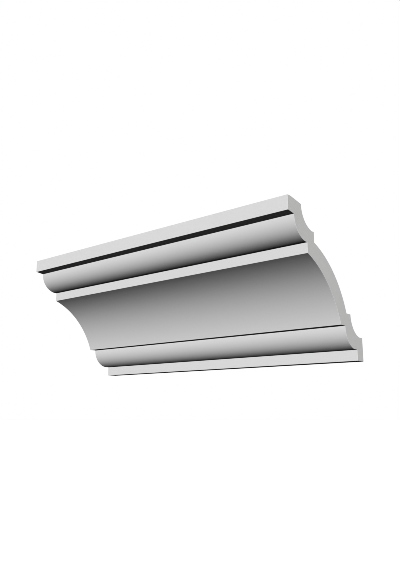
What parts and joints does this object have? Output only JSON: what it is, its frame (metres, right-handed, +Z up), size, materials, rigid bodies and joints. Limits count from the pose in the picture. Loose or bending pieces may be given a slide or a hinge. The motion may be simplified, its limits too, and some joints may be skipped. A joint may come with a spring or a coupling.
{
  "type": "cornice moulding length",
  "caption": "Plain classical cornice moulding, cut square at both ends, that bridges the corner of a wall and a ceiling with a fascia, ovolos, fillets and a large cove, open behind.",
  "frame": {"origin": "middle of the flat strip that lies on the wall, half way along the piece", "axes": "+X along the length, +Y into the wall, +Z up to the ceiling; the moulded face looks to -Y and down"},
  "size_m": [0.4, 0.152, 0.15],
  "materials": {
    "plaster": "matte"
  },
  "bodies": {
    "root": {"cornice": "plaster"}
  },
  "joints": []
}
